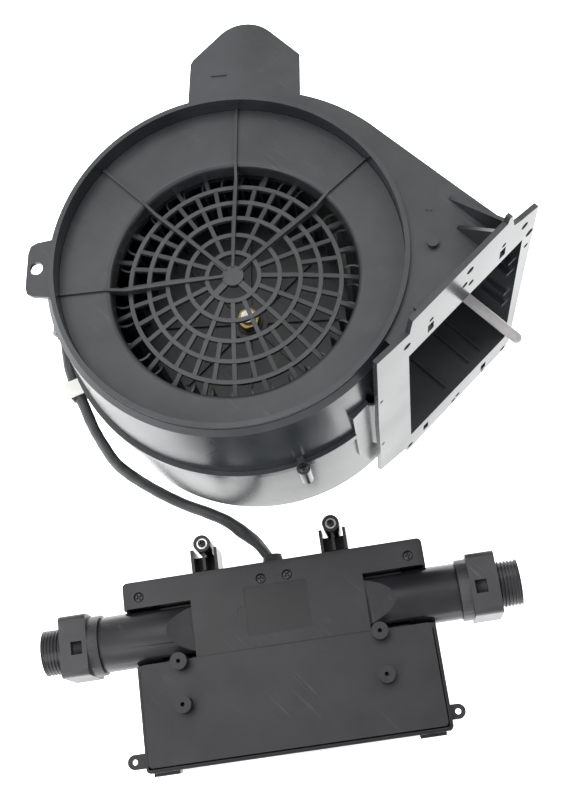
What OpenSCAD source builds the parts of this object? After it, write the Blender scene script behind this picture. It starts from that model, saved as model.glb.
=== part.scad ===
// Extractor blower with its lamp and supply box.
// A double-inlet centrifugal fan in a two-part plastic scroll, joined by a
// sleeved cable to a flat box that carries a lampholder at each end.
// Z is up, the outlet faces -Y, and the origin is on the floor under the
// motor shaft.

/* [Scroll housing] */
// Height of the housing's underside above the floor
housing_base = 25; // [22:0.5:30]
// Height of the housing's flat roof above the floor
roof_z = 170; // [165:0.5:180]
// Height of the seam between the two housing halves
seam_z = 107; // [100:0.5:115]
// Outer radius of the round wall at its shoulder, just under the roof
wall_top_r = 103.4; // [102:0.1:106]
// Outer radius of the round wall at the seam
wall_seam_r = 107; // [105:0.1:110]
// Thickness of the moulded walls
wall = 2.2; // [1.8:0.1:3]
// Sideways offset of the round wall from the shaft
case_x = 5; // [3:0.5:7]
// Offset of the round wall from the shaft, away from the outlet
case_y = 8; // [5:0.5:10]
// Radius of the raised rim around the inlet plate
rim_r = 100.2; // [98:0.1:101]
// Height of the raised rim above the roof
rim_rise = 3; // [1:0.5:5]

/* [Outlet] */
// Inside width of the outlet duct
duct_w = 90; // [80:1:95]
// Distance of the duct's near inside wall from the shaft axis
duct_x = 28; // [26:1:30]
// Distance of the flange face from the shaft axis
flange_y = 105.5; // [104:0.5:110]
// Thickness of the flange plate
flange_t = 3; // [2:0.5:4]
// Height of the flange plate's highest edge
flange_top = 209; // [205:1:212]
// Left to right spacing of the flange's corner holes
hole_dx = 91; // [88:1:93]
// Vertical spacing of the flange's corner holes
hole_dz = 177; // [172:1:180]
// Diameter of the flange's corner holes
hole_d = 5; // [4:0.1:5.5]

/* [Inlet grille] */
// Radius of the inlet's throat
inlet_r = 69.5; // [68:0.5:71]
// Height of the grille at its centre
grille_top = 163; // [161:0.5:165]
// How far the grille's outermost ring sits below its centre
grille_drop = 8.4; // [6:0.1:9]
// Width of the grille's rings and spokes
grille_bar = 2.4; // [2:0.1:3]
// Depth of the grille's rings and spokes
grille_t = 2.6; // [2:0.1:3]

/* [Impeller] */
// Outer radius of the impeller
fan_r = 76; // [74:0.5:77]
// Number of forward-curved blades
blade_n = 36; // [30:1:40]
// Height of the impeller's lower end
fan_z0 = 42; // [41:0.5:44]
// Height of the impeller's upper end
fan_z1 = 148.5; // [146:0.5:148.5]
// Height of the impeller's central disc
disc_z = 92; // [92:0.5:94]

/* [Motor] */
// Shaft radius
shaft_r = 4; // [3.5:0.5:4]
// Radial running clearance of the shaft in its bearings
shaft_fit = 0.04; // [0.02:0.01:0.08]
// Outer radius of the stator stack
stator_r = 41; // [40:0.5:41.5]
// Radius of the rotor core
rotor_r = 22; // [20:0.5:22]

/* [Lamp box] */
// Length of the box body
box_l = 189; // [184:1:194]
// Width of the box body
box_w = 116.5; // [114:0.5:119]
// Height of the joint between base and cover
box_seam = 19.5; // [19.5:0.5:20]
// Height of the cover's flat strip and middle
box_top = 30; // [29:0.5:31]
// Height of the cover's long raised panel
panel_top = 31.2; // [31:0.1:33]
// Outer radius of the two lampholder tubes
tube_r = 17.3; // [16.5:0.1:17.5]
// Distance of the tubes' axis from the box's centre line
tube_v = 23; // [22:0.5:24]
// Turn of the box about Z
box_turn = -38; // [-42:1:-34]

/* [Hidden] */
$fn = 96;

shoulder_z = roof_z - 3.5;
shoulder_w = 2.9;
rim_in = rim_r - 2.7;
rim_top = roof_z + rim_rise;
plate_z = roof_z - 8;
lip_r = 8;
inlet_lip = 2.8;
inlet_base = 151.4;
mouth_r = 62;
duct_x0 = duct_x - wall;
duct_x1 = duct_x + duct_w + wall;
duct_end = flange_y - flange_t;
scroll_x = 12;
scroll_r = 105;
fix_x0 = 27;
fix_z0 = 7;
cap_h = 19;
box_x = -127.7;
box_y = -142.2;
tube_z = 19;
holder_turn = 7;
notch_l = 52.8;
notch_r = 55.3;
lower_l = 91;
back_l = 96;
lower_v = 5.3;
strip_v = 40.8;
slope_l = 69.5;
slope_r = 73.9;
collar_u0 = 112;
collar_u1 = 118.5;
collar_u2 = 135.6;
sleeve_u = 149.5;
cable_d = 8;
gland_turn = 225;
tower_x = 4.5;
tower_y = -98.8;
pad_x = -11;
pad_y = -99.6;
gland_r = 4.9;
tower_top = 137;
post_top = 40;
bracket_v = 17;
bracket_top = 30;
bracket_r = 5.4;
collar_half = 19;

// Azimuths and radii of the bosses that clamp the two housing halves.
seam_bosses = [[-117, 113.5], [112, 113.5], [66, 113.5], [25, 116]];

// Places on the box, measured along it and across it from its centre.
screw_points = [[-85.2, 47.5], [-7.5, 47.5], [9, 47.5], [84.7, 47.5]];
post_points = [[-62.5, 3.7], [60.6, 3.7], [-62.5, -22], [60.6, -22]];
standoffs = [[-60, -45], [60, -45], [-60, -10], [60, -10]];
bracket_us = [-42, 40.5];
ear_left = [-99, -50];
ear_right = [98.8, -47.6];

// Route of the sleeved cable, from the housing gland to the box gland.
cable_route = [
  [-78, 84, 95], [-84, 78, 96], [-91, 69, 96], [-97, 59, 96],
  [-102, 48, 95], [-106, 39, 90], [-111, 30, 78], [-114, 23, 63],
  [-116, 16, 48], [-115, 9, 34], [-112, 0, 20], [-108, -11, 10],
  [-103, -24, 5], [-97, -38, 5], [-92, -52, 5], [-90, -66, 6],
  [-89, -77, 9], [-90, -87, 12], [-92, -97, 13], [-95, -104, 13]
];

function wall_r(z) = wall_seam_r + (wall_top_r - wall_seam_r)
  * max(0, z - seam_z) / (shoulder_z - seam_z);
function dome_z(r) = grille_top - grille_drop * pow(r / 61, 2);
// Distance from the shaft axis to the rim's inner face, at an azimuth.
function rim_reach(a) = case_x * cos(a) + case_y * sin(a)
  + sqrt(rim_in * rim_in - pow(case_x * sin(a) - case_y * cos(a), 2));

// ---------------------------------------------------------------- helpers

module at_case() { translate([case_x, case_y, 0]) children(); }

module around_case(angle, r) {
  at_case() rotate(angle) translate([r, 0, 0]) children();
}

module ring(r_out, r_in, h) {
  difference() {
    cylinder(r = r_out, h = h);
    translate([0, 0, -1]) cylinder(r = r_in, h = h + 2);
  }
}

module bored(r_out, r_in, h) {
  difference() {
    cylinder(r = r_out, h = h, $fn = 32);
    translate([0, 0, -1]) cylinder(r = r_in, h = h + 2, $fn = 32);
  }
}

module rounded_rect(x0, y0, x1, y1, r) {
  translate([x0 + r, y0]) square([x1 - x0 - 2 * r, y1 - y0]);
  translate([x0, y0 + r]) square([x1 - x0, y1 - y0 - 2 * r]);
  for (x = [x0 + r, x1 - r], y = [y0 + r, y1 - r])
    translate([x, y]) circle(r = r, $fn = 32);
}

module slab(z0, z1) {
  translate([0, 0, z0]) linear_extrude(z1 - z0) children();
}

// Extrudes an outline drawn in X and Z towards the outlet, back to y.
module facing(y, t) {
  translate([0, -y, 0]) rotate([90, 0, 0]) linear_extrude(t) children();
}

// ---------------------------------------------------------- scroll housing

// The solid that the scroll's walls follow, shrunk by inset.
module scroll_body(z0, z1, inset) {
  edge_z = min(z1, shoulder_z - inset);
  at_case() {
    translate([0, 0, z0]) cylinder(
      r1 = wall_r(z0) - inset, r2 = wall_r(edge_z) - inset, h = edge_z - z0);
    if (z1 > edge_z) translate([0, 0, edge_z]) cylinder(
      r1 = wall_r(edge_z) - inset, r2 = wall_r(edge_z) - inset - shoulder_w,
      h = z1 - edge_z);
  }
  slab(z0, z1) {
    intersection() {
      translate([scroll_x, 0]) circle(r = scroll_r - inset);
      translate([scroll_x, -1]) square(scroll_r + 1);
    }
    polygon([
      [duct_x0 + inset, -duct_end], [duct_x1 - inset, -duct_end],
      [duct_x1 - 1.5 - inset, -60], [scroll_x + scroll_r - inset, 0],
      [scroll_x, 0], [duct_x0 + inset, -40]
    ]);
  }
}

// Narrow band around each half at the seam; it stops at the screw tower.
module seam_band(z) {
  difference() {
    at_case() translate([0, 0, z]) cylinder(r = 109.6, h = 3);
    translate([pad_x, pad_y - 20, z - 1]) cube([40, 20, 5]);
  }
}

module tongue_outline() {
  polygon([
    [40, 80], [58, 94], [78, 112.5], [81, 113.5], [104, 113.5],
    [104, 93], [124.5, 93], [124.5, 68], [105, 48.5], [80, 30]
  ]);
  translate([104, 93]) circle(r = 20.5);
}

module ear_outline() {
  polygon([
    [-50, 84], [-54, 90.5], [-61, 95.5], [-65, 96.7], [-69, 94.5],
    [-84, 80], [-86, 76.5], [-85, 73], [-81, 68], [-76, 62]
  ]);
}

module flange_outline_upper() {
  polygon([
    [2, seam_z], [5.2, 201.3], [29, 197], [31.5, flange_top],
    [102, flange_top], [103.5, 213], [105.5, 213], [108, 199], [113.7, 196],
    [128, 191.5], [126, seam_z]
  ]);
}

module flange_outline_lower() {
  polygon([
    [2, seam_z], [1, 60], [-1, 19], [24, 8], [24, 0], [119, 3],
    [124, 9], [126, seam_z]
  ]);
}

// Corner holes, slots and pin holes through the flange plate.
module flange_holes() {
  facing(duct_end - 1, flange_t + 2) {
    for (dx = [0, hole_dx], dz = [0, hole_dz])
      translate([fix_x0 + dx, fix_z0 + dz]) circle(d = hole_d, $fn = 32);
    translate([74.5, 199]) circle(d = 5, $fn = 32);
    translate([123.6, 168]) circle(d = 5.6, $fn = 32);
    translate([122.6, 154]) circle(d = 3.4, $fn = 32);
    for (p = [[45, 178], [101, 178], [42, 13], [98, 13]])
      translate(p) square([4.5, 9], center = true);
    for (p = [[45.5, 187], [101.5, 186.5], [98, 5]])
      translate(p) circle(d = 3.2, $fn = 24);
    for (p = [[71, 187], [76, 182], [69, 6], [73, 9]])
      translate(p) circle(d = 4, $fn = 24);
    translate([5.6, 142]) circle(d = 2.6, $fn = 24);
    translate([3.6, 68]) circle(d = 2.6, $fn = 24);
  }
}

module duct_hollow(z0, z1) {
  slab(z0, z1) polygon([
    [duct_x, -flange_y - 1], [duct_x + duct_w, -flange_y - 1],
    [duct_x + duct_w - 1.5, -60], [100, 0], [duct_x, -40]
  ]);
}

// Short rib inside the duct's far wall, close behind the flange.
module wall_rib(z) {
  translate([duct_x + duct_w - 3, -duct_end, z]) cube([4, 18, 2.5]);
}

module seam_boss(z0, z1, hole_r) {
  for (b = seam_bosses) around_case(b[0], b[1])
    difference() {
      union() {
        translate([0, 0, z0]) cylinder(r = 3.9, h = z1 - z0, $fn = 32);
        translate([-8, -2, z0]) cube([8, 4, z1 - z0]);
      }
      translate([0, 0, z0 - 1]) cylinder(r = hole_r, h = z1 - z0 + 2, $fn = 32);
    }
}

// Triangular web that props the flange against the roof.
module gusset(x, reach, top) {
  translate([x, 0, 0]) rotate([90, 0, 90]) linear_extrude(2.2) polygon([
    [-duct_end - 0.5, roof_z - 1], [-duct_end - 0.5, top],
    [-duct_end, top], [-duct_end + reach, roof_z], [-duct_end + reach, roof_z - 1]
  ]);
}

// Screw tower beside the flange, and the thick pad of wall it stands on.
module flange_tower(z0, z1) {
  translate([tower_x, tower_y, z0]) cylinder(r = 4.2, h = z1 - z0, $fn = 32);
  translate([pad_x, pad_y, z0]) cube([14, 9, z1 - z0]);
}

module upper_housing() {
  color([0.16, 0.17, 0.18]) difference() {
    union() {
      difference() {
        union() {
          scroll_body(seam_z, roof_z, 0);
          seam_band(seam_z);
          at_case() translate([0, 0, plate_z]) cylinder(r = rim_r, h = rim_top - plate_z);
          slab(roof_z - 2.8, roof_z) {
            tongue_outline();
            ear_outline();
          }
          seam_boss(seam_z, seam_z + 9, 1.8);
          flange_tower(seam_z, tower_top);
        }
        scroll_body(seam_z - 1, roof_z - wall, wall);
        duct_hollow(seam_z - 1, roof_z - wall);
        at_case() translate([0, 0, roof_z - wall - 1])
          cylinder(r = rim_in - 3.5, h = 20);
        at_case() translate([0, 0, plate_z - 2.5])
          cylinder(r = rim_in, h = 20);
      }
      at_case() translate([0, 0, plate_z - 6]) ring(rim_r + 2.3, rim_in - 3.5, 3.5);
      at_case() translate([0, 0, plate_z - 2.5]) ring(rim_r + 1.8, rim_in, 8);
      facing(duct_end, flange_t) flange_outline_upper();
      gusset(99.4, 27.5, 200);
      gusset(110, 43, 193);
      for (p = [[50.4, -91], [107, -92], [36, -98]])
        translate([p[0], p[1], roof_z - 1]) cylinder(r = 2, h = 5, $fn = 32);
      translate([84.3, -71.8, roof_z - 1]) cylinder(r = 3.2, h = 4.4, $fn = 32);
      for (p = [[97.4, -55.4], [98.9, -57.4]])
        translate([p[0], p[1], roof_z - 1]) cylinder(r = 0.7, h = 1.6, $fn = 16);
      for (z = [120, 134]) wall_rib(z);
      translate([80, 97, roof_z - 1]) rotate(-45) cube([9, 1, 1.8]);
    }
    facing(duct_end - 1, flange_t + 2)
      translate([duct_x, seam_z - 1]) square([duct_w, roof_z - wall - seam_z + 1]);
    flange_holes();
    translate([-72, 84, roof_z - 5]) cylinder(r = 3.75, h = 10, $fn = 32);
    translate([tower_x, tower_y, seam_z - 1]) cylinder(r = 1.8, h = 20, $fn = 32);
    translate([tower_x, tower_y, seam_z + 9]) cylinder(r = 2.9, h = 30, $fn = 32);
  }
}

module lower_housing() {
  color([0.16, 0.17, 0.18]) difference() {
    union() {
      difference() {
        union() {
          scroll_body(housing_base, seam_z, 0);
          seam_band(seam_z - 3);
          seam_boss(seam_z - 12, seam_z, 1.2);
          flange_tower(66, seam_z);
          cable_lug();
        }
        scroll_body(housing_base + wall, seam_z + 1, wall);
        duct_hollow(housing_base + wall, seam_z + 1);
        translate([0, 0, 10]) cylinder(r = mouth_r + lip_r + 1.5, h = 40);
      }
      lower_mouth();
      facing(duct_end, flange_t) flange_outline_lower();
      for (a = [30, 150, 270]) rotate(a) translate([79, 0, housing_base])
        cylinder(r = 4.5, h = 12, $fn = 32);
      for (z = [76, 92]) wall_rib(z);
      for (x = [66, 89, 100]) floor_rib(x);
    }
    facing(duct_end - 1, flange_t + 2)
      translate([duct_x, housing_base + wall])
        square([duct_w, seam_z + 1 - housing_base - wall]);
    flange_holes();
    for (a = [30, 150, 270]) rotate(a) translate([79, 0, housing_base - 1])
      cylinder(r = 1.5, h = 11, $fn = 32);
    translate([tower_x, tower_y, 90]) cylinder(r = 1.2, h = 30, $fn = 32);
    translate(cable_route[0]) rotate([0, 90, gland_turn]) {
      translate([0, 0, -9]) cylinder(r = gland_r, h = 17, $fn = 32);
      cylinder(r = 6.7, h = 8, $fn = 32);
      translate([0, 0, -5.5]) rotate([-90, 0, 0]) cylinder(r = 3, h = 16, $fn = 32);
    }
  }
}

// Moulded spout on the wall that holds the cable's gland.
module cable_lug() {
  translate(cable_route[0]) rotate([0, 90, gland_turn])
    translate([0, 0, -12]) cylinder(r = 8.6, h = 17, $fn = 48);
}

module floor_rib(x) {
  translate([x, -100, housing_base + wall - 0.5]) cube([2, 42, 2.5]);
  translate([x + 1, -100, housing_base + wall - 0.5]) cylinder(r = 1, h = 2.5, $fn = 24);
}

// Rounded mouth of the lower inlet, drawn up into the impeller.
module lower_mouth() {
  rotate_extrude() translate([mouth_r + lip_r, housing_base + lip_r]) {
    intersection() {
      difference() {
        circle(r = lip_r, $fn = 64);
        circle(r = lip_r - wall, $fn = 64);
      }
      translate([-lip_r, -lip_r]) square(lip_r);
    }
    translate([0, -lip_r]) square([3, wall]);
    translate([-lip_r, 0]) square([wall, 5]);
  }
}

// ------------------------------------------------------------ inlet grille

module spoke(angle, r0, r1, w) {
  rotate(angle) rotate([90, 0, 0]) linear_extrude(w, center = true) polygon([
    [r0, dome_z(r0)], [r1, dome_z(r1)],
    [r1, dome_z(r1) - grille_t], [r0, dome_z(r0) - grille_t]
  ]);
}

module grille_ring(r) {
  translate([0, 0, dome_z(r) - grille_t])
    ring(r + grille_bar / 2, r - grille_bar / 2, grille_t + 0.1);
}

// Thin rib that runs over the grille from its hub to the housing's rim.
module long_rib(angle, reach) {
  rotate(angle) rotate([90, 0, 0]) linear_extrude(1.6, center = true) polygon([
    [5, grille_top - 1], [5, grille_top + 1.2], [30, dome_z(30) + 1.8],
    [62, plate_z - 2], [73, plate_z + 1.8], [reach, plate_z + 1.8],
    [reach, plate_z - 1], [70.5, plate_z - 5], [61, dome_z(61) - 1],
    [30, dome_z(30) - 1]
  ]);
}

module inlet_grille() {
  radii = [14.7, 26, 37.4, 48.5, 59.7];
  color([0.2, 0.21, 0.22]) {
    difference() {
      at_case() translate([0, 0, plate_z - 2.4]) cylinder(r = rim_in - 0.2, h = 2.4);
      translate([0, 0, plate_z - 5]) cylinder(r = inlet_r + inlet_lip, h = 10);
    }
    inlet_throat();
    for (r = radii) grille_ring(r);
    translate([0, 0, grille_top - 3]) cylinder(r = 6, h = 3.6, $fn = 48);
    for (a = [0 : 90 : 270]) spoke(a, 4, radii[0], 3.6);
    for (a = [0 : 22.5 : 359]) spoke(a, radii[0], radii[2], grille_bar);
    for (a = [0 : 11.25 : 359]) spoke(a, radii[2], radii[4], grille_bar);
    for (a = [0 : 15 : 359]) spoke(a, radii[4], inlet_r + 1, grille_bar);
    for (a = [-3, 44, 91.5, 138]) long_rib(a, rim_reach(a) - 0.3);
  }
}

// Rounded lip of the inlet plate and the short throat below it.
module inlet_throat() {
  rotate_extrude() translate([inlet_r, 0]) {
    translate([inlet_lip, plate_z - inlet_lip]) intersection() {
      circle(r = inlet_lip, $fn = 64);
      translate([-inlet_lip, 0]) square(inlet_lip + 0.01);
    }
    translate([0, inlet_base]) square([2.4, plate_z - inlet_lip - inlet_base]);
  }
}

module seam_screw() {
  translate([0, 0, seam_z + 9]) cylinder(r = 2.8, h = 2, $fn = 32);
  translate([0, 0, seam_z - 10]) cylinder(r = 1.19, h = 19.5, $fn = 32);
}

module seam_screws() {
  color("dimgray") {
    for (b = seam_bosses) around_case(b[0], b[1]) seam_screw();
    translate([tower_x, tower_y, 0]) seam_screw();
  }
}

// --------------------------------------------------------------- impeller

// One forward-curved blade: an arc between the ring's inner and outer edge.
module blade_outline() {
  arc_r = 9;
  steps = 5;
  outer = [for (i = [0 : steps]) let (a = 15 + i * 100 / steps)
    [arc_r * cos(a), arc_r * sin(a)]];
  inner = [for (i = [steps : -1 : 0]) let (a = 15 + i * 100 / steps)
    [(arc_r - 1.1) * cos(a), (arc_r - 1.1) * sin(a)]];
  polygon(concat(outer, inner));
}

module impeller() {
  color([0.13, 0.14, 0.14]) {
    for (i = [0 : blade_n - 1]) rotate(i * 360 / blade_n)
      translate([65.2, -5, fan_z0]) linear_extrude(fan_z1 - fan_z0) blade_outline();
    translate([0, 0, fan_z0]) ring(fan_r, fan_r - 6, 2);
    translate([0, 0, fan_z1 - 2]) ring(fan_r, fan_r - 6, 2);
    translate([0, 0, disc_z]) ring(fan_r - 1, shaft_r, 2);
    translate([0, 0, disc_z - 1.8]) ring(11, shaft_r, 5.8);
    for (a = [0 : 45 : 359]) rotate(a)
      translate([10, -1, disc_z + 1]) cube([44, 2, 3]);
  }
}

module impeller_washer() {
  color("silver") translate([0, 0, disc_z + 4]) bored(8, shaft_r, 1);
}

module impeller_nut() {
  color([0.72, 0.58, 0.3]) translate([0, 0, disc_z + 5]) difference() {
    cylinder(r = 7.2, h = 6, $fn = 6);
    translate([0, 0, -1]) cylinder(r = shaft_r, h = 8, $fn = 32);
  }
}

module motor_shaft() {
  color("silver") translate([0, 0, 27]) cylinder(r = shaft_r, h = disc_z - 13, $fn = 48);
}

// ------------------------------------------------------------------ motor

module rotor_core() {
  color("gray") {
    translate([0, 0, 46]) ring(rotor_r, shaft_r, 32);
    for (z = [43, 78]) translate([0, 0, z]) ring(rotor_r - 2, rotor_r - 8, 3);
  }
}

module stator_core() {
  color("slategray") difference() {
    translate([0, 0, 46]) cylinder(r = stator_r, h = 32);
    translate([0, 0, 45]) cylinder(r = rotor_r + 0.6, h = 34);
    for (a = [45 : 90 : 359]) rotate(a) translate([36.6, 0, 45])
      cylinder(r = 2.1, h = 34, $fn = 24);
  }
}

module stator_windings() {
  color([0.65, 0.32, 0.14]) for (z = [38.5, 78]) translate([0, 0, z])
    difference() {
      ring(33.5, 24, 7.5);
      for (a = [0 : 30 : 359]) rotate(a) translate([28, -0.6, z > 50 ? 2 : -1])
        cube([8, 1.2, 6.5]);
    }
}

module bearing_shield() {
  difference() {
    union() {
      translate([0, 0, 8]) ring(stator_r, 9, 2.5);
      ring(stator_r, stator_r - 2.2, 9);
      translate([0, 0, 0.6]) ring(12, 9, 9);
    }
    for (a = [45 : 90 : 359]) rotate(a) translate([36.6, 0, 7])
      cylinder(r = 2.1, h = 5, $fn = 24);
    for (a = [0 : 45 : 359]) rotate(a) translate([20, 0, 7])
      cylinder(r = 3, h = 5, $fn = 24);
  }
}

module upper_bearing_shield() {
  color("lightgray") translate([0, 0, 78]) bearing_shield();
}

module lower_bearing_shield() {
  color("lightgray") translate([0, 0, 46]) mirror([0, 0, 1]) bearing_shield();
}

module shaft_bearings() {
  color("goldenrod") for (z = [38, 80]) translate([0, 0, z])
    bored(9, shaft_r + shaft_fit, 6);
}

module motor_through_bolts() {
  color("silver") for (a = [45 : 90 : 359]) rotate(a) translate([36.6, 0, 0]) {
    translate([0, 0, 34.5]) cylinder(r = 2, h = 54, $fn = 24);
    translate([0, 0, 88.5]) cylinder(r = 3.2, h = 1.6, $fn = 24);
    translate([0, 0, 33.3]) cylinder(r = 3.4, h = 2.2, $fn = 6);
  }
}

module rubber_mounts() {
  color([0.1, 0.1, 0.1]) for (a = [90, 210, 330])
    intersection() {
      translate([0, 0, 40]) ring(45, stator_r, 12);
      rotate(a) translate([30, -8, 38]) cube([20, 16, 16]);
    }
}

// Cup that holds the motor, on three arms under the lower inlet.
module motor_cradle() {
  color([0.18, 0.19, 0.2]) difference() {
    union() {
      translate([0, 0, cap_h]) cylinder(r = 47.5, h = 33);
      for (a = [30, 150, 270]) rotate(a) {
        translate([40, -6, cap_h]) cube([39, 12, housing_base - cap_h]);
        translate([79, 0, cap_h]) cylinder(r = 6, h = housing_base - cap_h, $fn = 32);
        translate([40, -1.2, cap_h]) cube([18, 2.4, 15]);
      }
    }
    translate([0, 0, cap_h + 3]) cylinder(r = 45, h = 40);
    translate([0, 0, cap_h - 1]) cylinder(r = 16, h = 10);
    for (a = [0 : 60 : 359]) rotate(a) translate([30, 0, cap_h - 1])
      cylinder(r = 6, h = 10, $fn = 32);
    for (a = [30, 150, 270]) rotate(a) translate([79, 0, cap_h - 1])
      cylinder(r = 2.2, h = 10, $fn = 32);
  }
}

module cradle_screws() {
  color("silver") for (a = [30, 150, 270]) rotate(a) translate([79, 0, 0]) {
    translate([0, 0, cap_h - 2.5]) cylinder(r = 3.8, h = 2.5, $fn = 32);
    translate([0, 0, cap_h - 0.5]) cylinder(r = 1.5, h = 14, $fn = 32);
  }
}

module motor_cap() {
  color([0.14, 0.15, 0.15]) difference() {
    union() {
      translate([0, 0, 3]) cylinder(r = 40, h = cap_h - 3);
      cylinder(r1 = 37, r2 = 40, h = 3);
    }
    translate([0, 0, 2.4]) cylinder(r = 37.8, h = cap_h);
    for (a = [0 : 30 : 359]) rotate(a) translate([15, -1.5, -1]) cube([16, 3, 6]);
  }
}

// ------------------------------------------------- outlet rod and the cable

module outlet_guide_rod() {
  color([0.72, 0.72, 0.7]) {
    translate([74, -70, roof_z - wall - 2.9]) rotate([90, 0, 0])
      cylinder(r = 2.9, h = 69.5, $fn = 32);
    translate([74, -139.5, roof_z - wall - 2.9]) sphere(r = 2.9, $fn = 32);
  }
}

module housing_gland() {
  color([0.08, 0.08, 0.08]) translate(cable_route[0]) rotate([0, 90, gland_turn])
    difference() {
      union() {
        translate([0, 0, -2]) cylinder(r = gland_r, h = 6, $fn = 32);
        cylinder(r1 = 6.6, r2 = 5.6, h = 8, $fn = 32);
      }
      translate([0, 0, -3]) cylinder(r = 4.3, h = 13, $fn = 32);
    }
}

module cable_clip() {
  color([0.93, 0.93, 0.88]) translate([cable_route[4][0], cable_route[4][1], 95])
    rotate(-114) {
      difference() {
        translate([-5, -6, -6]) cube([10, 12, 12]);
        translate([-6, -4.4, -4.4]) cube([12, 8.8, 8.8]);
      }
      translate([-3.5, 5.5, -5]) cube([7, 1.4, 3]);
    }
}

function unit(v) = v / norm(v);
function route_dir(p, i) = unit(p[min(i + 1, len(p) - 1)] - p[max(i - 1, 0)]);
function side_dir(d) = unit(cross([0, 0, 1], d));
function sweep_ring(p, i, w, n) = let (
  d = route_dir(p, i), s = side_dir(d), u = cross(d, s)
) [for (k = [0 : n - 1]) let (a = k * 360 / n)
    p[i] + (s * cos(a) + u * sin(a)) * w / 2];

// A tube with n sides, swept along the points of route p.
module swept_tube(p, w, n) {
  m = len(p);
  pts = [for (i = [0 : m - 1]) for (q = sweep_ring(p, i, w, n)) q];
  sides = [for (i = [0 : m - 2], k = [0 : n - 1]) let (j = (k + 1) % n)
    [i * n + k, (i + 1) * n + k, (i + 1) * n + j, i * n + j]];
  first = [[for (k = [0 : n - 1]) k]];
  last = [[for (k = [n - 1 : -1 : 0]) (m - 1) * n + k]];
  polyhedron(points = pts, faces = concat(sides, first, last), convexity = 6);
}

module supply_cable() {
  color([0.24, 0.25, 0.26]) swept_tube(cable_route, cable_d, 10);
}

// ---------------------------------------------------------------- lamp box

module at_box() { translate([box_x, box_y, 0]) rotate(box_turn) children(); }

module along_box(u, v, z) {
  translate([u, v, z]) rotate([0, 90, 0]) children();
}

// Plan of the box body; the part below the tubes is a little shorter.
module box_plan(inset) {
  rounded_rect(
    -back_l + inset, 30 + inset, box_l / 2 - inset, box_w / 2 - inset, 3);
  rounded_rect(
    -lower_l + inset, -box_w / 2 + inset, box_l / 2 - inset, 36 + inset, 3);
}

module tube_pair(r, u0, u1) {
  along_box(-u1, tube_v, tube_z) cylinder(r = r, h = u1 - u0);
  along_box(u0, tube_v, tube_z) cylinder(r = r, h = u1 - u0);
}

// Upright web of a bracket; above the joint it stays clear of the cover.
module bracket_web(x, w, reach, z0, z1) {
  translate([x, 0, 0]) rotate([90, 0, 90]) linear_extrude(w) polygon([
    [-1, z0], [reach, z0], [reach, z1], [0.3, z1],
    [0.3, box_seam - 0.5], [-1, box_seam - 0.5]
  ]);
}

// Small bracket with a screw boss, on the box's long back edge.
module box_bracket(u) {
  translate([u, box_w / 2, 0]) {
    translate([-8.5, -1, 5]) cube([17, 14, 2.5]);
    for (x = [-8.5, 6.5]) bracket_web(x, 2, 14.5, 5, bracket_top - 4);
    bracket_web(-0.9, 1.8, 13, 6, bracket_top - 3);
    translate([0, bracket_v, 0]) difference() {
      translate([0, 0, 4]) cylinder(r = bracket_r, h = bracket_top - 4, $fn = 32);
      cylinder(r = 1.6, h = bracket_top + 1, $fn = 32);
      translate([0, 0, bracket_top - 2]) cylinder(r = 3.5, h = 3, $fn = 32);
    }
  }
}

module box_ear(p) {
  translate([p[0], p[1], box_seam - 3]) difference() {
    union() {
      cylinder(r = 4.5, h = 3, $fn = 32);
      translate([p[0] > 0 ? -6 : -1, -4.5, 0]) cube([p[0] > 0 ? 6 : 11, 9, 3]);
    }
    translate([0, 0, -1]) cylinder(r = 1.75, h = 5, $fn = 32);
  }
}

module box_base() {
  color([0.17, 0.18, 0.19]) at_box() difference() {
    union() {
      difference() {
        slab(0, box_seam) box_plan(0);
        slab(2, box_seam + 1) box_plan(2);
      }
      intersection() {
        tube_pair(tube_r, notch_l, collar_u1);
        translate([-130, -20, 1.7]) cube([260, 80, box_seam - 1.7]);
      }
      for (p = screw_points) translate([p[0], p[1], 1])
        cylinder(r = 3.6, h = box_seam - 1, $fn = 32);
      for (u = bracket_us) box_bracket(u);
      box_ear(ear_left);
      box_ear(ear_right);
      for (u = [-88, 74]) translate([u, -box_w / 2 - 1.8, 10]) cube([16, 3, 8.5]);
      for (p = standoffs) translate([p[0], p[1], 1])
        cylinder(r = 3, h = 6, $fn = 32);
    }
    tube_pair(tube_r - 2, notch_l - 5, collar_u1 + 1);
    for (p = screw_points) translate([p[0], p[1], 5])
      cylinder(r = 1.3, h = 20, $fn = 32);
    translate([0, box_w / 2 - 5, 13]) rotate([-90, 0, 0])
      cylinder(r = 5.4, h = 10, $fn = 32);
  }
}

module cover_hollows() {
  z1 = box_top - 2;
  translate([-back_l + 2, strip_v + 2, 0])
    cube([back_l + box_l / 2 - 4, box_w / 2 - strip_v - 4, z1]);
  translate([-notch_l + 2, 0, 0]) cube([notch_l + notch_r - 4, box_w / 2 - 2, z1]);
  translate([-lower_l + 2, -box_w / 2 + 2, 0])
    cube([lower_l + box_l / 2 - 4, box_w / 2, panel_top - 2]);
}

// Sloping flat where a tube runs into the middle of the cover.
module tube_slope(s, u, apex) {
  top = tube_z + tube_r + 0.3;
  intersection() {
    along_box(s > 0 ? u - 1 : -apex - 6, tube_v, tube_z)
      cylinder(r = tube_r, h = apex + 7 - u);
    translate([0, 60, 0]) rotate([90, 0, 0]) linear_extrude(80) polygon([
      [s * (u - 1), box_top - 1.8], [s * (u - 1), box_top - 0.6],
      [s * apex, top], [s * (apex + 6), top], [s * (apex + 6), box_top - 1.8]
    ]);
  }
}

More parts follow.
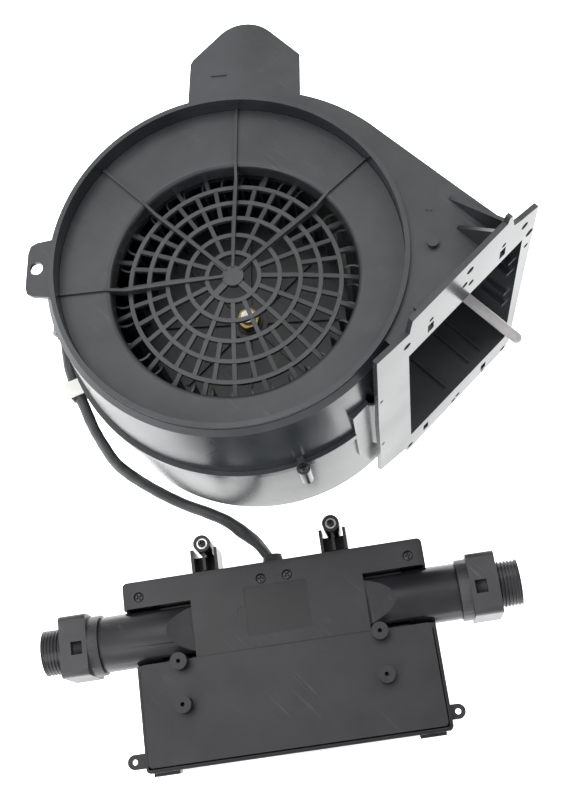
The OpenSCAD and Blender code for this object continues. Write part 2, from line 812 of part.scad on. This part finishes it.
module cover_shell() {
  slab(box_seam, box_top - 4) box_plan(0);
  slab(box_seam, box_top - 1.6) box_plan(1.3);
  slab(box_seam, box_top) intersection() {
    box_plan(2.8);
    translate([-100, lower_v]) square([200, 60]);
  }
  slab(box_seam, panel_top) rounded_rect(
    -lower_l + 2.8, -box_w / 2 + 2.8, box_l / 2 - 2.8, lower_v, 2.5);
}

module box_cover() {
  color([0.19, 0.2, 0.21]) at_box() difference() {
    union() {
      difference() {
        cover_shell();
        translate([-120, lower_v, 0]) cube([120 - notch_l, strip_v - lower_v, 60]);
        translate([notch_r, lower_v, 0]) cube([120 - notch_r, strip_v - lower_v, 60]);
        cover_hollows();
      }
      intersection() {
        union() {
          along_box(-collar_u1, tube_v, tube_z)
            cylinder(r = tube_r, h = collar_u1 - slope_l - 5);
          along_box(slope_r + 5, tube_v, tube_z)
            cylinder(r = tube_r, h = collar_u1 - slope_r - 5);
        }
        translate([-130, -20, box_seam]) cube([260, 80, 30]);
      }
      tube_slope(-1, notch_l, slope_l);
      tube_slope(1, notch_r, slope_r);
      for (p = screw_points) translate([p[0], p[1], box_seam])
        cylinder(r = 3.9, h = box_top - box_seam - 0.5, $fn = 32);
      for (p = post_points) translate([p[0], p[1], box_seam])
        cylinder(r = 5.2, h = post_top - box_seam, $fn = 48);
    }
    along_box(-collar_u1 - 1, tube_v, tube_z) cylinder(r = tube_r - 2, h = 43);
    along_box(collar_u1 - 38, tube_v, tube_z) cylinder(r = tube_r - 2, h = 40);
    for (p = screw_points) {
      translate([p[0], p[1], box_seam - 1]) cylinder(r = 1.7, h = 20, $fn = 32);
      translate([p[0], p[1], box_top - 1.6]) cylinder(r = 3.2, h = 5, $fn = 32);
    }
    for (p = post_points) translate([p[0], p[1], post_top - 8])
      cylinder(r = 1.3, h = 10, $fn = 32);
    slab(box_top - 0.4, box_top + 1) rounded_rect(-19.3, 13.3, 20.6, 43.3, 3);
    translate([-21.4, 28.8, box_top - 0.4]) cylinder(r = 3, h = 2, $fn = 48);
  }
}

module cover_screws() {
  color("gray") at_box() for (p = screw_points) translate([p[0], p[1], 0]) {
    translate([0, 0, box_top - 1.6]) cylinder(r = 2.9, h = 1.4, $fn = 32);
    translate([0, 0, 7]) cylinder(r = 1.29, h = box_top - 8.5, $fn = 32);
  }
}

module circuit_board() {
  color([0.1, 0.35, 0.2]) at_box() difference() {
    translate([-75, -50, 7]) cube([150, 48, 1.6]);
    for (p = standoffs) translate([p[0], p[1], 6])
      cylinder(r = 1.6, h = 4, $fn = 24);
  }
}

module board_terminals() {
  color([0.3, 0.45, 0.6]) at_box() {
    for (u = [-50, -34, 34]) translate([u, -14, 8.6]) cube([13, 9, 10]);
    for (u = [-52, -26, 24]) translate([u, -44, 8.6]) cube([18, 15, 14]);
  }
}

module run_capacitor() {
  color([0.85, 0.85, 0.82]) at_box() {
    along_box(-30, 32, 16) cylinder(r = 11, h = 52);
    along_box(22, 32, 16) cylinder(r = 4, h = 3, $fn = 32);
  }
}

module box_gland() {
  color([0.08, 0.08, 0.08]) at_box() translate([0, box_w / 2 - 4, 13])
    rotate([-90, 0, 0]) difference() {
      union() {
        cylinder(r = 5.4, h = 4, $fn = 32);
        translate([0, 0, 4]) cylinder(r1 = 7, r2 = 5.8, h = 6, $fn = 32);
      }
      translate([0, 0, -1]) cylinder(r = 4.3, h = 12, $fn = 32);
    }
}

// Square collar that locks the lampholder to the end of a tube.
module lamp_collar(s) {
  half = collar_half;
  at_box() along_box(0, tube_v, tube_z) mirror([0, 0, s > 0 ? 0 : 1])
    difference() {
      union() {
        translate([0, 0, collar_u0]) cylinder(r = 18.8, h = collar_u2 - collar_u0);
        translate([0, 0, collar_u1]) linear_extrude(collar_u2 - collar_u1)
          rounded_rect(-half, -half, half, half, 4);
      }
      translate([0, 0, collar_u0 - 1]) cylinder(r = tube_r, h = collar_u1 - collar_u0 + 1);
      translate([0, 0, collar_u0]) cylinder(r = 13.9, h = 40);
      translate([-half - 1, -6, collar_u1 + 3]) cube([8, 8, 7]);
    }
}

module lamp_collar_left() { color([0.22, 0.23, 0.24]) lamp_collar(-1); }

module lamp_collar_right() { color([0.22, 0.23, 0.24]) lamp_collar(1); }

// Lampholder body with its outside-threaded skirt.
module lampholder(s) {
  at_box() along_box(0, tube_v, tube_z) mirror([0, 0, s > 0 ? 0 : 1])
    rotate(holder_turn) difference() {
      union() {
        translate([0, 0, 100]) cylinder(r = 13.8, h = collar_u2 - 100 + 1);
        translate([0, 0, collar_u2]) cylinder(r = 14.2, h = sleeve_u - collar_u2);
      }
      translate([0, 0, 122]) cylinder(r = 11.6, h = 40);
      translate([0, 0, 116]) cylinder(r = 7.8, h = 10);
    }
}

module lampholder_left() { color([0.2, 0.21, 0.22]) lampholder(-1); }

module lampholder_right() { color([0.2, 0.21, 0.22]) lampholder(1); }

// Screw shell and centre contact that the lamp's cap meets.
module lamp_contacts(s) {
  at_box() along_box(0, tube_v, tube_z) mirror([0, 0, s > 0 ? 0 : 1]) {
    translate([0, 0, 119]) ring(7.7, 7.1, 20);
    translate([0, 0, 116]) cylinder(r = 5, h = 1, $fn = 48);
    translate([0, 0, 116]) cylinder(r = 2, h = 2.5, $fn = 24);
  }
}

module lamp_contacts_left() { color("goldenrod") lamp_contacts(-1); }

module lamp_contacts_right() { color("goldenrod") lamp_contacts(1); }

module bracket_screws() {
  color("dimgray") at_box() for (u = bracket_us)
    translate([u, box_w / 2 + bracket_v, bracket_top - 1]) {
      cylinder(r = 2.4, h = 1.8, $fn = 32);
      translate([0, 0, -15]) cylinder(r = 1.59, h = 15.5, $fn = 32);
    }
}

module bracket_washers() {
  color("lightgray") at_box() for (u = bracket_us)
    translate([u, box_w / 2 + bracket_v, bracket_top - 2]) bored(3.4, 1.65, 1);
}

upper_housing();
lower_housing();
inlet_grille();
seam_screws();
impeller();
impeller_nut();
impeller_washer();
motor_shaft();
rotor_core();
stator_core();
stator_windings();
upper_bearing_shield();
lower_bearing_shield();
shaft_bearings();
motor_through_bolts();
rubber_mounts();
motor_cradle();
cradle_screws();
motor_cap();
outlet_guide_rod();
housing_gland();
cable_clip();
supply_cable();
box_gland();
box_base();
box_cover();
cover_screws();
circuit_board();
board_terminals();
run_capacitor();
lamp_collar_left();
lamp_collar_right();
lampholder_left();
lampholder_right();
lamp_contacts_left();
lamp_contacts_right();
bracket_screws();
bracket_washers();
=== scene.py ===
import math

import bmesh
import bpy
from mathutils import Matrix, Vector


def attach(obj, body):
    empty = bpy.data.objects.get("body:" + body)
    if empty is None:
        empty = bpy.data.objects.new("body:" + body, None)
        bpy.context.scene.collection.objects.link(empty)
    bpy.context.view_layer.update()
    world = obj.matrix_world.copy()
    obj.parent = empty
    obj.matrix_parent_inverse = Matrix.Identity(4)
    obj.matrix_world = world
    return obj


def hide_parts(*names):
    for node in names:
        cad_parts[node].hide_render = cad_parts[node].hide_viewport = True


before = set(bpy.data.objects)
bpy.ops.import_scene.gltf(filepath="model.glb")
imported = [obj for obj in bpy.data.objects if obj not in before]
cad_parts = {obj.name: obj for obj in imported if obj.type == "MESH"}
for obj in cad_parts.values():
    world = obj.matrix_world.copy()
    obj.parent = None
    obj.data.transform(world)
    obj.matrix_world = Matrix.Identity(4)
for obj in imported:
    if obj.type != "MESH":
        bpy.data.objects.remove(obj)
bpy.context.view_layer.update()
MM = 0.001


# ------------------------------------------------------------------ camera

CAMERA_PLACE = Vector((-128.1, -255.5, 736.2)) * MM
CAMERA_RIGHT = Vector((0.6944, -0.7104, -0.1150))
CAMERA_DOWN = Vector((-0.7029, -0.6351, -0.3204))
CAMERA_LENS = 51.73


def make_camera():
    """The camera stands high above the object and leans a little."""
    data = bpy.data.cameras.new("camera")
    data.lens = CAMERA_LENS
    data.clip_start, data.clip_end = 0.01, 20
    camera = bpy.data.objects.new("camera", data)
    bpy.context.scene.collection.objects.link(camera)
    right = CAMERA_RIGHT.normalized()
    back = right.cross(-CAMERA_DOWN).normalized()
    up = back.cross(right)
    camera.matrix_world = Matrix((
        (right.x, up.x, back.x, CAMERA_PLACE.x),
        (right.y, up.y, back.y, CAMERA_PLACE.y),
        (right.z, up.z, back.z, CAMERA_PLACE.z),
        (0, 0, 0, 1),
    ))
    bpy.context.scene.camera = camera


# ------------------------------------------------------------------- stage

def area_light(name, place, target, size, power, colour=(1, 1, 1)):
    data = bpy.data.lights.new(name, "AREA")
    data.shape = "RECTANGLE"
    data.size, data.size_y = size
    data.energy = power
    data.color = colour
    light = bpy.data.objects.new(name, data)
    light.location = place
    direction = Vector(target) - Vector(place)
    light.rotation_euler = direction.to_track_quat("-Z", "Y").to_euler()
    bpy.context.scene.collection.objects.link(light)
    return light


def make_stage():
    mesh = bpy.data.meshes.new("floor")
    r = 6.0
    mesh.from_pydata([(-r, -r, 0), (r, -r, 0), (r, r, 0), (-r, r, 0)], [], [(0, 1, 2, 3)])
    floor = bpy.data.objects.new("floor", mesh)
    bpy.context.scene.collection.objects.link(floor)
    material = bpy.data.materials.new("floor_white")
    material.use_nodes = True
    shader = material.node_tree.nodes["Principled BSDF"]
    shader.inputs["Base Color"].default_value = (0.86, 0.86, 0.86, 1)
    shader.inputs["Roughness"].default_value = 0.9
    shader.inputs["Specular IOR Level"].default_value = 0.2
    shader.inputs["Emission Color"].default_value = (1, 1, 1, 1)
    shader.inputs["Emission Strength"].default_value = 1.6
    mesh.materials.append(material)
    world = bpy.data.worlds.new("studio")
    world.use_nodes = True
    background = world.node_tree.nodes["Background"]
    background.inputs["Color"].default_value = (1, 1, 1, 1)
    background.inputs["Strength"].default_value = 0.82
    bpy.context.scene.world = world
    area_light("top_soft", (-0.1, 0.5, 1.6), (0, 0, 0.1), (1.4, 1.0), 12)
    area_light("left_soft", (-1.3, -0.2, 1.0), (0, 0, 0.1), (0.9, 0.9), 10)
    area_light("right_soft", (1.2, -0.5, 1.2), (0, 0, 0.1), (0.9, 0.9), 8)
    bpy.context.scene.view_settings.view_transform = "Standard"


# --------------------------------------------------------------- materials

class Nodes:
    """Short helper for building a material's node tree."""

    def __init__(self, name):
        self.material = bpy.data.materials.new(name)
        self.material.use_nodes = True
        self.tree = self.material.node_tree
        self.shader = self.tree.nodes["Principled BSDF"]
        coords = self.tree.nodes.new("ShaderNodeTexCoord")
        self.place = coords.outputs["Object"]

    def add(self, kind, **values):
        node = self.tree.nodes.new(kind)
        for key, value in values.items():
            setattr(node, key, value)
        return node

    def link(self, a, b):
        self.tree.links.new(a, b)

    def noise(self, scale, detail=4.0, rough=0.55):
        node = self.add("ShaderNodeTexNoise")
        node.inputs["Scale"].default_value = scale
        node.inputs["Detail"].default_value = detail
        node.inputs["Roughness"].default_value = rough
        self.link(self.place, node.inputs["Vector"])
        return node.outputs["Fac"]

    def remap(self, source, lo, hi, out_lo, out_hi):
        node = self.add("ShaderNodeMapRange")
        node.inputs["From Min"].default_value = lo
        node.inputs["From Max"].default_value = hi
        node.inputs["To Min"].default_value = out_lo
        node.inputs["To Max"].default_value = out_hi
        self.link(source, node.inputs["Value"])
        return node.outputs["Result"]

    def maths(self, operation, a, b):
        node = self.add("ShaderNodeMath", operation=operation)
        for socket, value in zip(node.inputs, (a, b)):
            if isinstance(value, (int, float)):
                socket.default_value = value
            else:
                self.link(value, socket)
        return node.outputs["Value"]

    def mix_colour(self, factor, a, b):
        node = self.add("ShaderNodeMix", data_type="RGBA")
        self.link(factor, node.inputs[0])
        for socket, value in ((node.inputs[6], a), (node.inputs[7], b)):
            if isinstance(value, tuple):
                socket.default_value = (*value, 1)
            else:
                self.link(value, socket)
        return node.outputs[2]

    def bump(self, height, strength, distance, under=None):
        node = self.add("ShaderNodeBump")
        node.inputs["Strength"].default_value = strength
        node.inputs["Distance"].default_value = distance
        self.link(height, node.inputs["Height"])
        if under is not None:
            self.link(under, node.inputs["Normal"])
        return node.outputs["Normal"]

    def scuffs(self):
        """Thin light scratches that come in patches."""
        stretch = self.add("ShaderNodeMapping")
        stretch.inputs["Scale"].default_value = (1, 0.05, 1)
        stretch.inputs["Rotation"].default_value = (0, 0, 0.7)
        self.link(self.place, stretch.inputs["Vector"])
        lines = self.add("ShaderNodeTexNoise")
        lines.inputs["Scale"].default_value = 620
        lines.inputs["Detail"].default_value = 2
        self.link(stretch.outputs["Vector"], lines.inputs["Vector"])
        patches = self.remap(self.noise(34, 3, 0.6), 0.5, 0.68, 0, 0.5)
        return self.maths("MULTIPLY", self.remap(lines.outputs["Fac"], 0.6, 0.72, 0, 1), patches)

    def window(self, centre, turn, width, depth):
        """1 inside a rectangle that is turned about Z, 0 outside it."""
        local = self.add("ShaderNodeMapping", vector_type="TEXTURE")
        local.inputs["Location"].default_value = centre
        local.inputs["Rotation"].default_value = (0, 0, turn)
        self.link(self.place, local.inputs["Vector"])
        split = self.add("ShaderNodeSeparateXYZ")
        self.link(local.outputs["Vector"], split.inputs["Vector"])
        sides = []
        for axis, size in (("X", width), ("Y", depth)):
            away = self.maths("ABSOLUTE", split.outputs[axis], 0)
            sides.append(self.maths("LESS_THAN", away, size / 2))
        return self.maths("MULTIPLY", *sides)

    def upward(self):
        """1 on surfaces that face up, 0 on walls and undersides."""
        geometry = self.add("ShaderNodeNewGeometry")
        split = self.add("ShaderNodeSeparateXYZ")
        self.link(geometry.outputs["Normal"], split.inputs["Vector"])
        return self.remap(split.outputs["Z"], 0.55, 0.9, 0, 1)

    def set(self, socket, value):
        self.shader.inputs[socket].default_value = value


def moulded_plastic(name, dark, light, wall_rough, top_rough, grain, ior=1.5, tone_and_painted_shade_windows=()):
    """Moulded plastic: spark-eroded grain on top faces and polished walls."""
    n = Nodes(name)
    up = n.upward()
    cloud = n.noise(28, 5, 0.6)
    fine = n.noise(1900, 3, 0.6)
    blotch = n.noise(9, 3, 0.5)
    scuffs = n.scuffs()
    shade = n.maths("ADD", n.maths("MULTIPLY", cloud, 0.6), n.maths("MULTIPLY", blotch, 0.4))
    clean = n.mix_colour(n.remap(shade, 0.38, 0.62, 0, 1), dark, light)
    worn = tuple(c * 2.2 + 0.008 for c in light)
    colour = n.mix_colour(n.maths("MULTIPLY", scuffs, up), clean, worn)
    # Each window darkens the colour inside it; on the box cover one window is a painted shade line at the foot
    # of a step.
    for centre, width, depth, shade in tone_and_painted_shade_windows:
        colour = n.mix_colour(n.window(centre, BOX_TURN, width, depth), colour,
                              tuple(c * shade for c in dark))
    n.link(colour, n.shader.inputs["Base Color"])
    rough = n.maths("ADD", n.remap(blotch, 0.35, 0.65, -0.06, 0.06),
                    n.remap(up, 0, 1, wall_rough, top_rough))
    n.link(rough, n.shader.inputs["Roughness"])
    height = n.maths("MULTIPLY", fine, n.remap(up, 0, 1, 0.03, 1))
    wavy = n.bump(n.noise(14, 2, 0.4), 0.25, 0.0008)
    n.link(n.bump(height, grain, 0.0002, wavy), n.shader.inputs["Normal"])
    n.set("IOR", ior)
    return n.material


def metal(name, colour, rough, streak=600):
    n = Nodes(name)
    stretch = n.add("ShaderNodeMapping")
    stretch.inputs["Scale"].default_value = (1, 1, 0.06)
    n.link(n.place, stretch.inputs["Vector"])
    n.place = stretch.outputs["Vector"]
    lines = n.noise(streak, 3, 0.6)
    tone = n.noise(60, 3, 0.5)
    darker = tuple(c * 0.72 for c in colour)
    n.link(n.mix_colour(n.remap(tone, 0.35, 0.65, 0, 1), darker, colour), n.shader.inputs["Base Color"])
    n.link(n.remap(lines, 0.3, 0.7, rough * 0.8, rough * 1.3), n.shader.inputs["Roughness"])
    n.link(n.bump(lines, 0.15, 0.0001), n.shader.inputs["Normal"])
    n.set("Metallic", 1.0)
    return n.material


def soft_plain(name, dark, light, rough, grain_scale=900, grain=0.2):
    n = Nodes(name)
    tone = n.noise(70, 4, 0.6)
    n.link(n.mix_colour(n.remap(tone, 0.35, 0.65, 0, 1), dark, light), n.shader.inputs["Base Color"])
    n.link(n.remap(n.noise(120), 0.3, 0.7, rough - 0.05, rough + 0.08), n.shader.inputs["Roughness"])
    n.link(n.bump(n.noise(grain_scale, 3), grain, 0.0002), n.shader.inputs["Normal"])
    return n.material


def give(material, *nodes):
    for name in nodes:
        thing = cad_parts[name]
        thing.data.materials.clear()
        thing.data.materials.append(material)


def soften(width, *nodes):
    """Rounds the moulded edges of CAD nodes with a fine bevel."""
    for name in nodes:
        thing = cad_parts[name]
        weld = thing.modifiers.new("weld", "WELD")
        weld.merge_threshold = 0.00001
        bevel = thing.modifiers.new("bevel", "BEVEL")
        bevel.width = width
        bevel.segments = 2
        bevel.limit_method = "ANGLE"
        bevel.angle_limit = math.radians(32)
        bevel.harden_normals = True


# ------------------------------------------------------------- mesh helpers

def new_piece(name, bm, material, smooth=True):
    mesh = bpy.data.meshes.new(name)
    bmesh.ops.recalc_face_normals(bm, faces=bm.faces)
    bm.to_mesh(mesh)
    bm.free()
    for face in mesh.polygons:
        face.use_smooth = smooth
    thing = bpy.data.objects.new(name, mesh)
    bpy.context.scene.collection.objects.link(thing)
    if material:
        mesh.materials.append(material)
    return thing


def bevelled(thing, width, angle=35):
    bevel = thing.modifiers.new("bevel", "BEVEL")
    bevel.width = width
    bevel.segments = 2
    bevel.limit_method = "ANGLE"
    bevel.angle_limit = math.radians(angle)
    return thing


def lathe(bm, profile, matrix, sides=48, wave=None):
    """Turns (radius, height) pairs about Z; wave may change each radius."""
    rings = []
    for r, h in profile:
        ring = []
        for i in range(sides):
            a = 2 * math.pi * i / sides
            q = r if wave is None else wave(r, h, a)
            ring.append(bm.verts.new(matrix @ Vector((q * math.cos(a), q * math.sin(a), h))))
        rings.append(ring)
    for one, two in zip(rings, rings[1:]):
        for i in range(sides):
            j = (i + 1) % sides
            bm.faces.new((one[i], one[j], two[j], two[i]))
    return rings


def cap(bm, ring):
    bm.faces.new(ring)


# -------------------------------------------------------------------- cord

CABLE_ROUTE = [Vector(p) * MM for p in (
    (-78, 84, 95), (-84, 78, 96), (-91, 69, 96), (-97, 59, 96),
    (-102, 48, 95), (-106, 39, 90), (-111, 30, 78), (-114, 23, 63),
    (-116, 16, 48), (-115, 9, 34), (-112, 0, 20), (-108, -11, 10),
    (-103, -24, 5), (-97, -38, 5), (-92, -52, 5), (-90, -66, 6),
    (-89, -77, 9), (-90, -87, 12), (-92, -97, 13), (-95, -104, 13),
)]


def smooth_route(points, steps):
    """Points on a curve that passes through every point of a route."""
    out = []
    last = len(points) - 1
    for i in range(last):
        a, b = points[max(i - 1, 0)], points[i]
        c, d = points[i + 1], points[min(i + 2, last)]
        for k in range(steps):
            t = k / steps
            out.append(0.5 * (2 * b + (c - a) * t + (2 * a - 5 * b + 4 * c - d) * t ** 2
                              + (3 * b - a - 3 * c + d) * t ** 3))
    out.append(points[-1])
    return out


def sleeve_tube(name, line, width, thick, twist, sides=24):
    """A flat soft sleeve along a line; twist turns it along the way."""
    bm = bmesh.new()
    rings = []
    run = 0.0
    last = len(line) - 1
    for i, p in enumerate(line):
        d = (line[min(i + 1, last)] - line[max(i - 1, 0)]).normalized()
        side = Vector((0, 0, 1)).cross(d).normalized()
        up = d.cross(side)
        if i:
            run += (p - line[i - 1]).length
        turn = twist(run)
        fold = 0.00012 * math.sin(run * 520) + 0.0001 * math.sin(run * 210 + 1)
        ring = []
        for k in range(sides):
            a = 2 * math.pi * k / sides
            flat = abs(math.cos(a)) ** 0.8 * math.copysign(1, math.cos(a))
            x = flat * (width / 2 + fold)
            y = math.sin(a) * (thick / 2 - fold * math.cos(2 * a))
            ring.append(bm.verts.new(p + side * (x * math.cos(turn) - y * math.sin(turn))
                                     + up * (x * math.sin(turn) + y * math.cos(turn))))
        rings.append(ring)
    for one, two in zip(rings, rings[1:]):
        for k in range(sides):
            j = (k + 1) % sides
            bm.faces.new((one[k], one[j], two[j], two[k]))
    cap(bm, rings[0])
    cap(bm, list(reversed(rings[-1])))
    return new_piece(name, bm, None), run


def cable_twist(run):
    """The sleeve lies on edge, and rolls over close to the box."""
    roll = 1 / (1 + math.exp(-(run - 0.215) * 110))
    return math.radians(60 - 150 * roll)


def make_cable():
    line = smooth_route(CABLE_ROUTE, 6)
    tube, run = sleeve_tube("sleeved_cable", line, 0.0084, 0.0062, cable_twist)
    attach(tube, "root")
    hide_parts("supply_cable")
    return tube


# -------------------------------------------------------------- small pieces

BOX_TURN = math.radians(-38)
BOX_FRAME = Matrix.Translation(Vector((-127.7, -142.2, 0)) * MM) @ Matrix.Rotation(BOX_TURN, 4, "Z")
TUBE_V, TUBE_Z = 23 * MM, 19 * MM


def end_frame(side):
    """Frame with Z out along a lampholder's axis; side is -1 or 1."""
    out = Vector((side, 0, 0))
    across = Vector((0, side, 0))
    turn = Matrix((
        (0, 0, out.x, 0),
        (0, across.y, 0, TUBE_V),
        (1, 0, 0, TUBE_Z),
        (0, 0, 0, 1),
    ))
    return BOX_FRAME @ turn


def skirt_radius(r, h, a):
    """Ring radius with the coarse outside thread and its two smooth flats."""
    if not 0.1362 <= h <= 0.1492 or r < 0.013:
        return r
    pitch = 0.0021
    phase = (h / pitch - a / (2 * math.pi)) % 1.0
    ridge = max(0.0, 1 - abs(phase - 0.5) * 2.6) ** 0.7
    flat = min(1.0, max(0.0, (abs(math.sin(a - 0.35)) - 0.14) * 9))
    return 0.0131 + 0.0011 * ridge * (0.25 + 0.75 * flat)


def make_lampholder(side, word, material):
    bm = bmesh.new()
    mm = [(7.8, 116), (7.8, 122), (11.6, 122.2), (11.6, 148.6), (12.2, 149.4)]
    profile = [(r * MM, h * MM) for r, h in mm]
    steps = 96
    top, low = 0.1493, 0.1360
    profile += [(0.0132, top)]
    profile += [(0.0142, top - (top - low) * i / steps) for i in range(steps + 1)]
    profile += [(0.0138, 0.1356), (0.0138, 0.1003), (0.0135, 0.1)]
    rings = lathe(bm, profile, end_frame(side), 96, skirt_radius)
    cap(bm, rings[0])
    cap(bm, rings[-1])
    holder_piece = new_piece("lampholder_skirt_" + word, bm, material)
    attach(holder_piece, "root")
    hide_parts("lampholder_" + word)


def cross_screw(name, frame_of_screw, head_r, head_h, shank_r, depth, material, node):
    """Pan-head screw with a cross recess; its frame has Z along the screw."""
    bm = bmesh.new()
    profile = [(shank_r * 0.25, -depth), (shank_r, -depth + shank_r), (shank_r, 0),
               (head_r, 0), (head_r, head_h * 0.45), (head_r * 0.93, head_h * 0.75),
               (head_r * 0.72, head_h * 0.95)]
    rings = lathe(bm, profile, frame_of_screw, 48)
    cap(bm, rings[0])
    arm, width = head_r * 0.62, head_r * 0.15
    corners = []
    for k in range(4):
        t = k * math.pi / 2
        for x, y in ((arm, -width), (arm, width), (width, width)):
            corners.append((x * math.cos(t) - y * math.sin(t), x * math.sin(t) + y * math.cos(t)))
    lip = [bm.verts.new(frame_of_screw @ Vector((x, y, head_h))) for x, y in corners]
    deep = [bm.verts.new(frame_of_screw @ Vector((x * 0.5, y * 0.5, head_h * 0.15))) for x, y in corners]
    for k in range(12):
        j = (k + 1) % 12
        bm.faces.new((lip[k], lip[j], deep[j], deep[k]))
    bm.faces.new(deep)
    outer = rings[-1]
    for k in range(12):
        j = (k + 1) % 12
        piece_of_ring = [outer[(4 * k + n) % 48] for n in range(5)]
        bm.faces.new([lip[j], lip[k]] + piece_of_ring)
    screw = new_piece(name, bm, material, smooth=False)
    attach(screw, "root")
    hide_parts(node)
    return screw


def make_cover_screws(material):
    for i, (u, v) in enumerate(((-85.2, 47.5), (-7.5, 47.5), (9, 47.5), (84.7, 47.5))):
        place = BOX_FRAME @ Matrix.Translation(Vector((u, v, 28.4)) * MM)
        place = place @ Matrix.Rotation(0.6 + i * 0.9, 4, "Z")
        screw = cross_screw("cover_screw_%d" % (i + 1), place, 0.0029, 0.0014, 0.00129, 0.021,
                            material, "cover_screws")


SEAM_BOSSES = ((-117, 113.5), (112, 113.5), (66, 113.5), (25, 116))
CASE_CENTRE = Vector((5, 8, 0)) * MM
TOWER = Vector((4.5, -98.8, 0)) * MM
SEAM_SCREW_Z = 0.116


def make_seam_screws(material):
    """Screws in the bosses that clamp the two housing halves."""
    places = [TOWER]
    for turn, reach in SEAM_BOSSES:
        a = math.radians(turn)
        places.append(CASE_CENTRE + Vector((math.cos(a), math.sin(a), 0)) * reach * MM)
    for i, place in enumerate(places):
        frame_of_screw = Matrix.Translation(place + Vector((0, 0, SEAM_SCREW_Z)))
        frame_of_screw = frame_of_screw @ Matrix.Rotation(0.3 + i * 0.7, 4, "Z")
        screw = cross_screw("seam_screw_%d" % (i + 1), frame_of_screw, 0.0028, 0.0019, 0.00119, 0.018,
                            material, "seam_screws")


def make_bracket_screws(material):
    for i, u in enumerate((-42, 40.5)):
        place = BOX_FRAME @ Matrix.Translation(Vector((u, 75.25, 29)) * MM)
        place = place @ Matrix.Rotation(0.4 + i * 0.8, 4, "Z")
        screw = cross_screw("bracket_screw_%d" % (i + 1), place, 0.0024, 0.0018, 0.00159, 0.015,
                            material, "bracket_screws")


def make_nut(material):
    """Brass nut with chamfered corners on the shaft's threaded end."""
    bm = bmesh.new()
    base, high = 0.097, 0.006

    def hexed(r, h, a):
        flat = 0.00624 / math.cos((a + math.pi / 6) % (math.pi / 3) - math.pi / 6)
        return min(flat, r) if r > 0.005 else r

    profile = [(0.00402, base), (0.0066, base), (0.0073, base + 0.0006),
               (0.0073, base + high - 0.0006), (0.0066, base + high), (0.0045, base + high),
               (0.00402, base + high - 0.0005)]
    rings = lathe(bm, profile, Matrix.Identity(4), 72, hexed)
    for i in range(72):
        j = (i + 1) % 72
        bm.faces.new((rings[-1][i], rings[-1][j], rings[0][j], rings[0][i]))
    nut = new_piece("impeller_lock_nut", bm, material)
    bevelled(nut, 0.0001, 30)
    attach(nut, "rotor")
    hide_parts("impeller_nut")


make_camera()
cable = make_cable()
make_stage()

housing = moulded_plastic("housing_black", (0.011, 0.0135, 0.016), (0.028, 0.032, 0.036), 0.27, 0.46, 0.5, 1.56)
grille = moulded_plastic("grille_black", (0.017, 0.0195, 0.022), (0.033, 0.037, 0.04), 0.3, 0.46, 0.5)
# Darker windows on the box cover: the label recess a little darker, and a painted shade line.
COVER_TONE_AND_PAINTED_SHADE = (
    (BOX_FRAME @ (Vector((0.65, 28.3, 0)) * MM), 0.0399, 0.03, 0.9),
    # Painted shade: a near-black line 0.9 mm wide along the foot of the step at the lower panel's edge, where
    # the step's shade falls.
    (BOX_FRAME @ (Vector((1.25, 5.6, 0)) * MM), 0.108, 0.0009, 0.1),
)
box_black = moulded_plastic("box_black", (0.0085, 0.0085, 0.0105), (0.019, 0.019, 0.0225), 0.26, 0.42,
                            0.4, 1.42, COVER_TONE_AND_PAINTED_SHADE)
holder = moulded_plastic("holder_black", (0.02, 0.02, 0.022), (0.04, 0.04, 0.043), 0.36, 0.5, 0.5)
fan_black = moulded_plastic("fan_black", (0.015, 0.016, 0.016), (0.022, 0.023, 0.023), 0.3, 0.4, 0.3)
steel = metal("zinc_steel", (0.62, 0.62, 0.64), 0.3)
dark_steel = metal("blackened_steel", (0.06, 0.06, 0.065), 0.4)
brass = metal("brass", (0.42, 0.31, 0.12), 0.38)
copper = metal("copper", (0.72, 0.36, 0.16), 0.3, 1500)
alloy = metal("cast_alloy", (0.6, 0.6, 0.62), 0.45)
rubber = soft_plain("black_rubber", (0.012, 0.012, 0.012), (0.02, 0.02, 0.02), 0.6)
sleeve = soft_plain("cable_sleeve", (0.02, 0.022, 0.024), (0.035, 0.037, 0.04), 0.55)
nylon = soft_plain("white_nylon", (0.75, 0.75, 0.7), (0.85, 0.85, 0.8), 0.4)
rod_grey = soft_plain("rod_grey", (0.24, 0.23, 0.23), (0.31, 0.3, 0.3), 0.35)
board = soft_plain("board_green", (0.03, 0.14, 0.07), (0.04, 0.18, 0.09), 0.3)
blue = soft_plain("terminal_blue", (0.08, 0.14, 0.24), (0.1, 0.17, 0.28), 0.35)
pale = soft_plain("capacitor_pale", (0.7, 0.7, 0.64), (0.76, 0.76, 0.7), 0.35)

give(housing, "upper_housing", "lower_housing", "motor_cradle", "motor_cap")
give(grille, "inlet_grille")
give(fan_black, "impeller")
give(box_black, "box_base", "box_cover")
give(holder, "lamp_collar_left", "lamp_collar_right")
give(steel, "motor_shaft", "motor_through_bolts", "cradle_screws", "bracket_washers")
give(dark_steel, "seam_screws", "impeller_washer")
give(alloy, "rotor_core", "stator_core", "upper_bearing_shield", "lower_bearing_shield")
give(brass, "shaft_bearings", "lamp_contacts_left", "lamp_contacts_right")
give(copper, "stator_windings")
give(rubber, "rubber_mounts", "housing_gland", "box_gland")
cable.data.materials.append(sleeve)
give(nylon, "cable_clip")
give(rod_grey, "outlet_guide_rod")
give(board, "circuit_board")
give(blue, "board_terminals")
give(pale, "run_capacitor")
make_lampholder(-1, "left", holder)
make_lampholder(1, "right", holder)
make_cover_screws(dark_steel)
make_bracket_screws(dark_steel)
make_seam_screws(dark_steel)
make_nut(brass)
soften(0.0005, "box_base", "box_cover", "lamp_collar_left", "lamp_collar_right")
